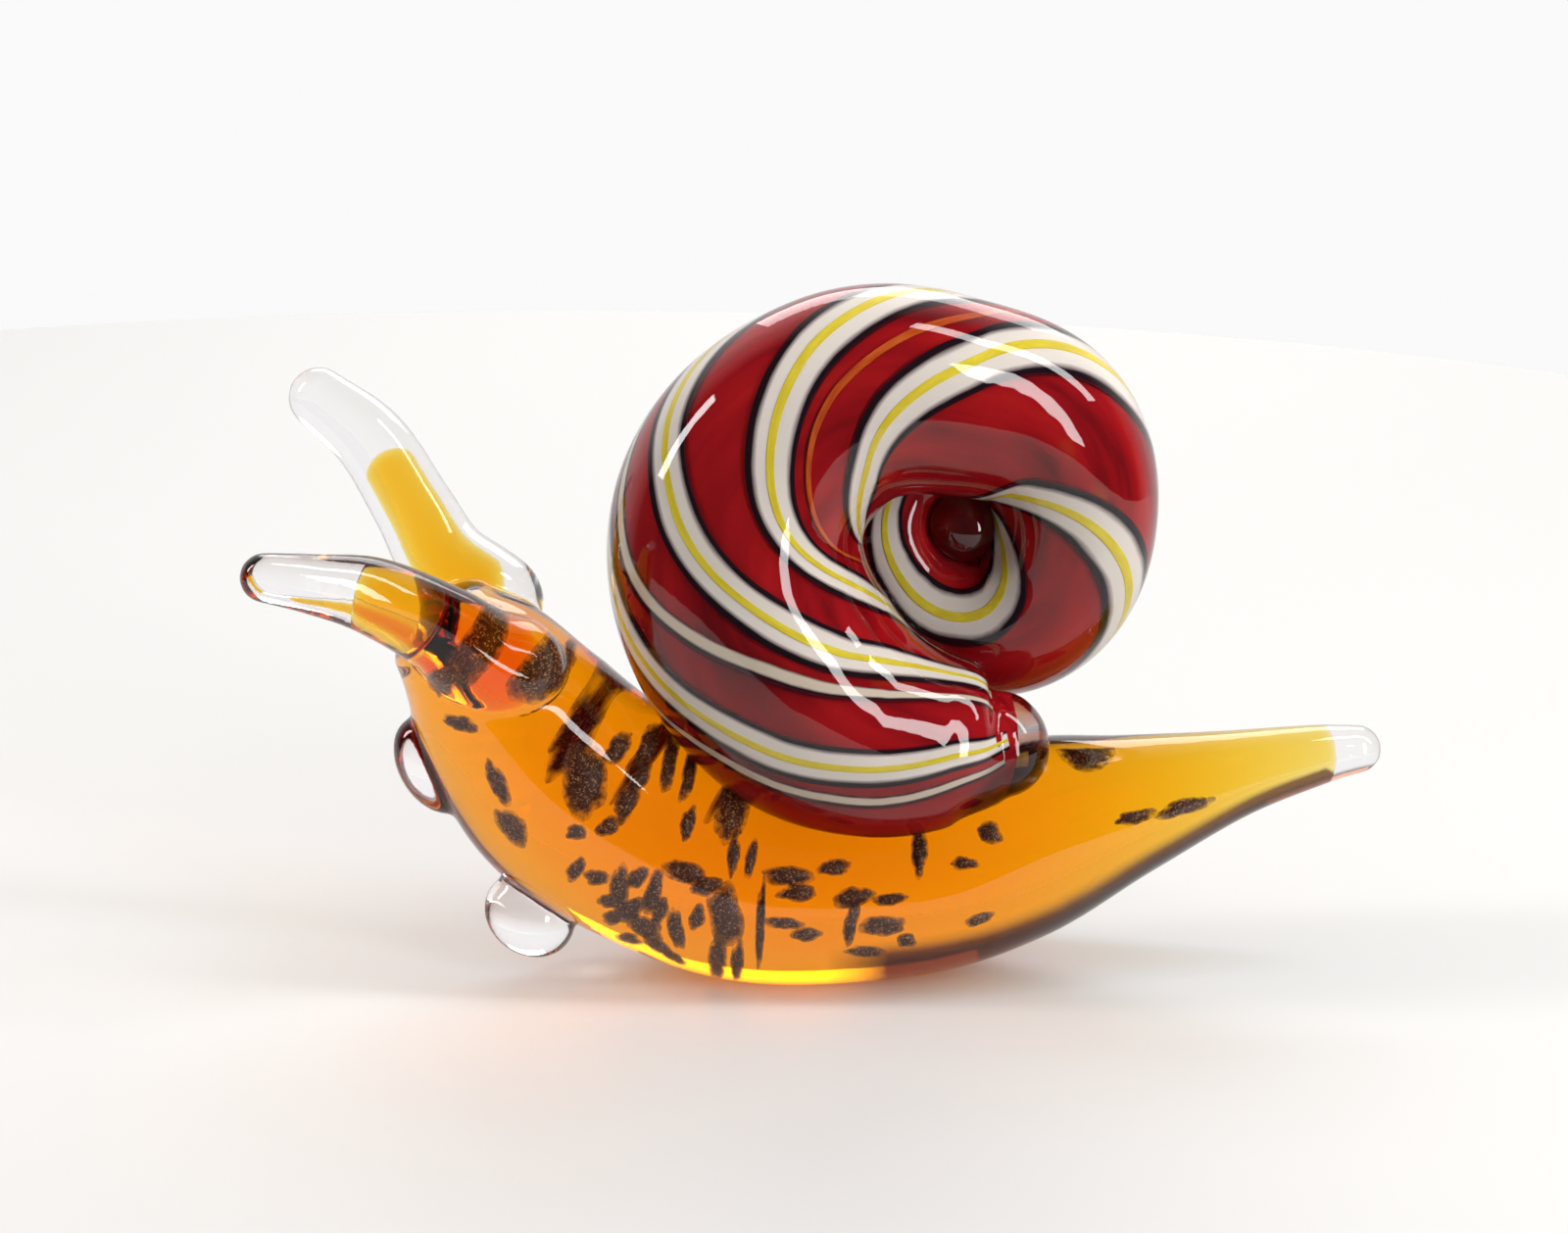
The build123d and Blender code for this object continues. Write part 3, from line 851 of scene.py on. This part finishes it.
def painted_lip_shade_group():
    """The lower part of the shell's lip, where painted shade darkens the clear glass to plum grey."""
    group = new_group("Painted lip shade", (), ("Mask",))
    nodes, links = group.nodes, group.links
    leave = nodes.new("NodeGroupOutput")
    where = nodes.new("ShaderNodeTexCoord")
    away = nodes.new("ShaderNodeVectorMath")
    away.operation = "DISTANCE"
    away.inputs[1].default_value = LIP_PLACE
    near = ranged(nodes, *LIP_RANGE, smooth=True)
    links.new(where.outputs["Object"], away.inputs[0])
    links.new(away.outputs["Value"], near.inputs["Value"])
    links.new(near.outputs[0], leave.inputs["Mask"])
    return group


HAND_WORKED = glass_group()
UNDERSIDE_SHADE_MASK = painted_underside_shade_group()
LIP_SHADE_MASK = painted_lip_shade_group()


def add_waves(tree, glass, height):
    """Gives a clear glass the slow waves and smudges of hand work."""
    worked = tree.nodes.new("ShaderNodeGroup")
    worked.node_tree = HAND_WORKED
    worked.inputs["Wave size"].default_value = WAVE_SIZE
    worked.inputs["Wave height"].default_value = height
    worked.inputs["Smudges"].default_value = SMUDGES
    bump = tree.nodes.new("ShaderNodeBump")
    bump.inputs["Strength"].default_value = 1.0
    bump.inputs["Distance"].default_value = MM
    tree.links.new(worked.outputs["Height"], bump.inputs["Height"])
    tree.links.new(bump.outputs["Normal"], glass.inputs["Normal"])
    tree.links.new(worked.outputs["Roughness"], glass.inputs["Roughness"])


def add_painted_shades(tree, glass, shade, outline, patch):
    """Paints shade on a clear glass where it turns away, and more shade where a group masks it."""
    nodes, links = tree.nodes, tree.links
    # Painted shade: the glass darkens towards its rim where the surface turns away
    if outline:
        away = nodes.new("ShaderNodeLayerWeight")
        away.inputs["Blend"].default_value = 0.5
        turned = ranged(nodes, *RIM_RANGE, smooth=True)
        rim = colour_mix(nodes, outline, shade)
        links.new(away.outputs["Facing"], turned.inputs["Value"])
        links.new(turned.outputs[0], rim.inputs["Factor"])
        links.new(rim.outputs["Result"], glass.inputs["Base Color"])
    # Painted shade where the group masks the glass
    if patch:
        group, colour = patch
        masked = nodes.new("ShaderNodeGroup")
        masked.node_tree = group
        dark = colour_mix(nodes, colour, shade)
        links.new(masked.outputs["Mask"], dark.inputs["Factor"])
        if outline:
            links.new(rim.outputs["Result"], dark.inputs["A"])
        links.new(dark.outputs["Result"], glass.inputs["Base Color"])


def clear_glass(
    name, shade, shadow, ior=1.5, shine=0.5, wave_height=0.0, absorb=None, outline=None, patch=None
):
    """Clear glass that lets lamplight through in its shadow's shade.

    It can have an even tint inside, an outline of painted shade where its surface turns away, and
    a patch: a group that masks a place on it, and the painted shade there."""
    material, tree, output = new_material(name)
    nodes, links = tree.nodes, tree.links
    glass = nodes.new("ShaderNodeBsdfPrincipled")
    glass.inputs["Base Color"].default_value = (*shade, 1.0)
    glass.inputs["Transmission Weight"].default_value = 1.0
    glass.inputs["Roughness"].default_value = 0.0
    glass.inputs["IOR"].default_value = ior
    glass.inputs["Specular IOR Level"].default_value = shine
    if wave_height:
        add_waves(tree, glass, wave_height)
    add_painted_shades(tree, glass, shade, outline, patch)
    through = nodes.new("ShaderNodeBsdfTransparent")
    through.inputs["Color"].default_value = (*shadow, 1.0)
    path = nodes.new("ShaderNodeLightPath")
    mix = nodes.new("ShaderNodeMixShader")
    links.new(path.outputs["Is Shadow Ray"], mix.inputs[0])
    links.new(glass.outputs[0], mix.inputs[1])
    links.new(through.outputs[0], mix.inputs[2])
    links.new(mix.outputs[0], output.inputs["Surface"])
    if absorb:
        density, colour = absorb
        inside = nodes.new("ShaderNodeVolumeAbsorption")
        inside.inputs["Density"].default_value = density
        inside.inputs["Color"].default_value = (*colour, 1.0)
        links.new(inside.outputs[0], output.inputs["Volume"])
    return material


def tint(red, green, blue, path_mm):
    """Density and colour of absorption that leave these shares of light after a path.

    The density is a little over the greatest loss, so that no part of the colour is zero."""
    losses = [-log(share) / (path_mm * MM) for share in (red, green, blue)]
    density = max(losses) * 1.001
    return density, tuple(1 - loss / density for loss in losses)


# Opaque glass


def opaque(name, build):
    """An opaque material that the given function colours."""
    material, tree, output = new_material(name)
    body = tree.nodes.new("ShaderNodeBsdfPrincipled")
    tree.links.new(body.outputs[0], output.inputs["Surface"])
    build(tree, body)
    return material


def surface(body, roughness, gloss):
    """How rough the glass is and how much it shines of its own."""
    body.inputs["Roughness"].default_value = roughness
    body.inputs["Specular IOR Level"].default_value = gloss


def under_clear(body):
    """The dull finish of glass that lies under a clear casing, which alone shines."""
    surface(body, roughness=0.5, gloss=0.0)


def red_glass(tree, body):
    """Opaque red, deeper in streaks along the coil, with a rare orange-brown one."""
    nodes, links = tree.nodes, tree.links
    cloud = drawn_noise(tree, along=9.0, across=16.0, detail=4.0)
    shade = ramp_of(tree, (
        (0.30, (0.150, 0.003, 0.006)),
        (0.45, (0.300, 0.005, 0.009)),
        (0.58, (0.400, 0.008, 0.011)),
        (0.72, (0.470, 0.014, 0.012)),
    ))
    streak = drawn_noise(tree, along=14.0, across=5.0, detail=2.0)
    where = ranged(nodes, start=0.64, end=0.78)
    mix = colour_mix(nodes, ORANGE_BROWN)
    links.new(cloud.outputs["Fac"], shade.inputs[0])
    links.new(streak.outputs["Fac"], where.inputs["Value"])
    links.new(where.outputs[0], mix.inputs["Factor"])
    links.new(shade.outputs[0], mix.inputs["A"])
    links.new(mix.outputs["Result"], body.inputs["Base Color"])
    under_clear(body)


def across_band(stops):
    """Colours laid across a band, from one edge to the other, a little uneven along it."""

    def build(tree, body):
        nodes, links = tree.nodes, tree.links
        uv = own_map(nodes)
        split = nodes.new("ShaderNodeSeparateXYZ")
        cloud = drawn_noise(tree, along=26.0, across=3.0, detail=3.0)
        centred = maths(nodes, "SUBTRACT", second=0.5)
        uneven = maths(nodes, "MULTIPLY_ADD", second=0.10)
        ramp = ramp_of(tree, stops)
        links.new(uv.outputs[0], split.inputs[0])
        links.new(cloud.outputs["Fac"], centred.inputs[0])
        links.new(centred.outputs[0], uneven.inputs[0])
        links.new(split.outputs["Y"], uneven.inputs[2])
        links.new(uneven.outputs[0], ramp.inputs[0])
        links.new(ramp.outputs[0], body.inputs["Base Color"])
        under_clear(body)

    return build


def thread(dark, light):
    """A thread of one colour, slightly clouded along its length."""

    def build(tree, body):
        cloud = drawn_noise(tree, along=40.0, across=1.0, detail=3.0)
        ramp = ramp_of(tree, ((0.3, dark), (0.7, light)))
        tree.links.new(cloud.outputs["Fac"], ramp.inputs[0])
        tree.links.new(ramp.outputs[0], body.inputs["Base Color"])
        under_clear(body)

    return build


def aventurine(tree, body):
    """Brown glass full of copper glitter, thinning out at a chip's edge."""
    nodes, links = tree.nodes, tree.links
    where = nodes.new("ShaderNodeTexCoord")
    grain = nodes.new("ShaderNodeTexVoronoi")
    grain.inputs["Scale"].default_value = 4200.0
    pick = nodes.new("ShaderNodeSeparateColor")
    glitter = ramp_of(tree, (
        (0.45, (0.050, 0.014, 0.006)),
        (0.80, (0.105, 0.038, 0.018)),
        (0.95, (0.450, 0.230, 0.120)),
    ))
    uv = own_map(nodes)
    reach = nodes.new("ShaderNodeSeparateXYZ")
    cloud = clouds(nodes, scale=700.0, detail=3.0)
    ragged = maths(nodes, "MULTIPLY_ADD", second=0.7)
    fade = ranged(nodes, start=0.95, end=1.35, low=0.96, high=0.15)
    links.new(where.outputs["Object"], grain.inputs["Vector"])
    links.new(grain.outputs["Color"], pick.inputs[0])
    links.new(pick.outputs["Red"], glitter.inputs[0])
    links.new(glitter.outputs[0], body.inputs["Base Color"])
    links.new(uv.outputs[0], reach.inputs[0])
    links.new(where.outputs["Object"], cloud.inputs["Vector"])
    links.new(cloud.outputs["Fac"], ragged.inputs[0])
    links.new(reach.outputs["X"], ragged.inputs[2])
    links.new(ragged.outputs[0], fade.inputs["Value"])
    links.new(fade.outputs[0], body.inputs["Alpha"])
    surface(body, roughness=0.4, gloss=0.2)


def pit_shade_red(tree, body):
    """The fire-polished red ball at the bottom of the shell's pit, its red darkened as painted shade of
    the deep pit.
    """
    where = tree.nodes.new("ShaderNodeTexCoord")
    cloud = clouds(tree.nodes, scale=90.0)
    # Painted shade: a much darker red than the shell's, for the shade deep in the pit
    shade = ramp_of(tree, ((0.35, (0.030, 0.001, 0.002)), (0.70, (0.120, 0.004, 0.003))))
    tree.links.new(where.outputs["Object"], cloud.inputs["Vector"])
    tree.links.new(cloud.outputs["Fac"], shade.inputs[0])
    tree.links.new(shade.outputs[0], body.inputs["Base Color"])
    surface(body, roughness=0.04, gloss=0.6)


# Colours and materials

CLEAR = (0.985, 0.98, 0.985)
SHELL_SHADOW = (0.80, 0.775, 0.76)
BODY_SHADOW = (0.69, 0.675, 0.67)
# Painted shade at the glass's rim, where its surface turns away
PAINTED_RIM_SHADE = (0.42, 0.33, 0.38)
# Painted shade on the lower part of the shell's lip
PAINTED_LIP_SHADE = (0.13, 0.060, 0.070)
# Painted shade for the glass's underside towards the tail
PAINTED_UNDERSIDE_SHADE = (0.055, 0.016, 0.008)
UNTINTED = (1.0, 1.0, 1.0)
WHITE = (0.80, 0.76, 0.72)
DULL_WHITE = (0.40, 0.35, 0.34)
CREAM = (0.70, 0.62, 0.50)
BLACK = (0.012, 0.005, 0.009)
PLUM = (0.10, 0.004, 0.012)
ORANGE_BROWN = (0.42, 0.055, 0.008)

# The amber lies inside clear glass, which bends light nearly as it does
AMBER_IOR = 1.01

# The casing gets painted shade at its rim and on its underside
casing_glass = clear_glass(
    "Clear casing glass", CLEAR, BODY_SHADOW, shine=0.18, wave_height=0.10,
    outline=PAINTED_RIM_SHADE, patch=(UNDERSIDE_SHADE_MASK, PAINTED_UNDERSIDE_SHADE),
)
# The shell's glass gets painted shade at its rim and at its lip
shell_glass = clear_glass(
    "Clear shell glass", CLEAR, SHELL_SHADOW, shine=0.28, wave_height=0.06,
    outline=PAINTED_RIM_SHADE, patch=(LIP_SHADE_MASK, PAINTED_LIP_SHADE),
)
# The amber gets painted shade on its underside
body_amber = clear_glass(
    "Body amber glass", UNTINTED, UNTINTED, ior=AMBER_IOR,
    absorb=tint(red=0.95, green=0.33, blue=0.001, path_mm=34.0), patch=(UNDERSIDE_SHADE_MASK, PAINTED_UNDERSIDE_SHADE),
)
horn_amber = clear_glass(
    "Horn amber glass", UNTINTED, UNTINTED, ior=AMBER_IOR,
    absorb=tint(red=0.95, green=0.46, blue=0.012, path_mm=9.0),
)
red_core = opaque("Red glass", red_glass)
# The ball's red is painted dark, as the shade deep in the pit
shade_darkened_ball = opaque("Red ball glass painted dark", pit_shade_red)
cane_white = opaque("White cane glass", across_band((
    (0.00, PLUM), (0.03, BLACK), (0.12, BLACK), (0.17, DULL_WHITE), (0.22, WHITE),
    (0.80, WHITE), (0.85, DULL_WHITE), (0.90, BLACK), (0.97, BLACK), (1.00, PLUM),
)))
thin_white = opaque("Thin cane glass", across_band((
    (0.00, PLUM), (0.28, BLACK), (0.42, CREAM), (0.85, CREAM), (1.00, PLUM),
)))
cane_yellow = opaque("Yellow thread glass", thread((0.66, 0.52, 0.03), (0.80, 0.68, 0.06)))
cane_orange = opaque("Orange thread glass", thread((0.44, 0.05, 0.010), (0.62, 0.13, 0.02)))
copper = opaque("Copper aventurine", aventurine)

# Pieces

body_parts = [
    body_skin(inset=0.0, first_row=0),
    horn_skin(NEAR_HORN, HORN_THICKNESS, NEAR_HORN_START, LAST_HORN_ROW),
    horn_skin(FAR_HORN, HORN_THICKNESS, FAR_HORN_START, LAST_HORN_ROW),
    drop_skin(*CHIN_DROP),
    drop_skin(*CHEST_DROP),
]
piece(
    "body_glass", joined("body_glass", body_parts, BODY_POLISH, foot=True), casing_glass,
    "body_casing", "near_horn", "far_horn", "chin_drop", "chest_drop", slot="clear_glass",
)
piece(
    "amber_core", body_skin(BODY_CORE_INSET, first_row=1, lift=BODY_CORE_LIFT), body_amber,
    "body_core", slot="amber_glass",
)
piece(
    "near_horn_amber",
    horn_skin(NEAR_HORN, NEAR_CORE_THICKNESS, NEAR_CORE_START, NEAR_CORE_END), horn_amber,
    "near_horn_core", slot="amber_glass",
)
piece(
    "far_horn_amber",
    horn_skin(FAR_HORN, FAR_CORE_THICKNESS, FAR_CORE_START, FAR_CORE_END), horn_amber,
    "far_horn_core", slot="amber_glass",
)
shell_parts = [coil_skin(inset=0.0, start_turn=LIP_TURN, flatness=LIP_FLATNESS)]
piece(
    "shell_clear", joined("shell_clear", shell_parts, SHELL_POLISH), shell_glass,
    "shell_casing", "shell_lip", slot="clear_glass",
)
piece(
    "shell_red",
    coil_skin(SHELL_CORE_INSET, start_turn=CORE_TURN, flatness=CORE_END_FLATNESS), red_core,
    "shell_core", slot="red_glass",
)
for number, rows in enumerate(CANES, 1):
    piece(
        f"stripe_{number}", band_skin(rows, CANE_INSET, CANE_WALL), cane_white,
        f"cane_{number}", slot="white_glass",
    )
    piece(
        f"yellow_line_{number}", band_skin(rows, THREAD_INSET, THREAD_WALL, YELLOW_SHARE),
        cane_yellow, f"yellow_thread_{number}", slot="yellow_glass",
    )
for number, rows in enumerate(THIN_CANES, 1):
    piece(
        f"thin_stripe_{number}", band_skin(rows, CANE_INSET, CANE_WALL), thin_white,
        f"thin_cane_{number}", slot="white_glass",
    )
piece(
    "orange_line", band_skin(ORANGE_THREAD, CANE_INSET, CANE_WALL), cane_orange,
    "orange_thread", slot="orange_glass",
)
piece("near_chips", chip_skins(NEAR_CHIPS, NEAR), copper, "near_flecks", slot="aventurine")
piece("far_chips", chip_skins(FAR_CHIPS, FAR), copper, "far_flecks", slot="aventurine")
piece("tip_ball", ball_skin(TIP_BALL, TIP_BALL_RADIUS), shade_darkened_ball, "shell_tip", slot="red_glass")

# Stage, light and camera


def turntable():
    """The round pale table that the snail stands on."""
    disc = bmesh.new()
    bmesh.ops.create_circle(disc, cap_ends=True, segments=180, radius=TABLE_RADIUS)
    bmesh.ops.translate(disc, verts=disc.verts, vec=TABLE_CENTRE)
    mesh = bpy.data.meshes.new("floor")
    disc.to_mesh(mesh)
    disc.free()
    floor = bpy.data.objects.new("floor", mesh)
    bpy.context.scene.collection.objects.link(floor)
    material, tree, output = new_material("Pale table")
    paint = tree.nodes.new("ShaderNodeBsdfPrincipled")
    paint.inputs["Base Color"].default_value = (0.86, 0.845, 0.825, 1)
    surface(paint, roughness=0.6, gloss=0.2)
    tree.links.new(paint.outputs[0], output.inputs["Surface"])
    mesh.materials.append(material)


def studio_world():
    """Light a little stronger from the front, a white backdrop to look at, and a dim room in front
    for the glass to show."""
    world = bpy.data.worlds.new("Studio")
    bpy.context.scene.world = world
    world.use_nodes = True
    tree = world.node_tree
    nodes, links = tree.nodes, tree.links
    nodes.clear()
    out = nodes.new("ShaderNodeOutputWorld")
    path = nodes.new("ShaderNodeLightPath")
    where = nodes.new("ShaderNodeTexCoord")
    split = nodes.new("ShaderNodeSeparateXYZ")
    depth = ranged(nodes, start=0.10, end=0.60, low=ROOM_LEVEL, high=BACKDROP_LEVEL)
    spread = ranged(nodes, start=-1.0, end=1.0, low=FRONT_LIGHT, high=BACK_LIGHT)
    light = nodes.new("ShaderNodeBackground")
    light.inputs["Color"].default_value = (1, 1, 1, 1)
    room = nodes.new("ShaderNodeBackground")
    room.inputs["Color"].default_value = (1, 0.985, 0.985, 1)
    backdrop = nodes.new("ShaderNodeBackground")
    backdrop.inputs["Color"].default_value = (1, 1, 1, 1)
    backdrop.inputs["Strength"].default_value = BACKDROP_LEVEL
    bent = maths(nodes, "MAXIMUM")
    in_glass = nodes.new("ShaderNodeMixShader")
    in_sight = nodes.new("ShaderNodeMixShader")
    links.new(where.outputs["Generated"], split.inputs[0])
    links.new(split.outputs["Y"], depth.inputs["Value"])
    links.new(depth.outputs[0], room.inputs["Strength"])
    links.new(split.outputs["Y"], spread.inputs["Value"])
    links.new(spread.outputs[0], light.inputs["Strength"])
    links.new(path.outputs["Is Glossy Ray"], bent.inputs[0])
    links.new(path.outputs["Is Transmission Ray"], bent.inputs[1])
    links.new(bent.outputs[0], in_glass.inputs[0])
    links.new(light.outputs[0], in_glass.inputs[1])
    links.new(room.outputs[0], in_glass.inputs[2])
    links.new(path.outputs["Is Camera Ray"], in_sight.inputs[0])
    links.new(in_glass.outputs[0], in_sight.inputs[1])
    links.new(backdrop.outputs[0], in_sight.inputs[2])
    links.new(in_sight.outputs[0], out.inputs["Surface"])


def lamp_at(name, place, aim, width, length, power):
    """An oblong lamp at a place, turned towards its aim."""
    data = bpy.data.lights.new(name, "AREA")
    data.shape = "RECTANGLE"
    data.size = width
    data.size_y = length
    data.energy = power
    made = bpy.data.objects.new(name, data)
    made.location = place
    made.rotation_euler = (Vector(aim) - Vector(place)).to_track_quat("-Z", "Y").to_euler()
    bpy.context.scene.collection.objects.link(made)


turntable()
studio_world()
for lamp in LAMPS:
    lamp_at(*lamp)

camera_data = bpy.data.cameras.new("camera")
camera_data.lens = 75.0
camera_data.sensor_width = 36.0
camera_data.sensor_fit = "HORIZONTAL"
camera_data.clip_start = 0.01
camera_data.clip_end = 50.0
camera = bpy.data.objects.new("camera", camera_data)
camera.location = CAMERA_PLACE
camera.rotation_euler = (radians(90 - CAMERA_TILT), 0, 0)
bpy.context.scene.collection.objects.link(camera)
bpy.context.scene.camera = camera
bpy.context.scene.view_settings.view_transform = "Standard"
bpy.context.scene.cycles.max_bounces = 24
bpy.context.scene.cycles.transmission_bounces = 20
bpy.context.scene.cycles.transparent_max_bounces = 24
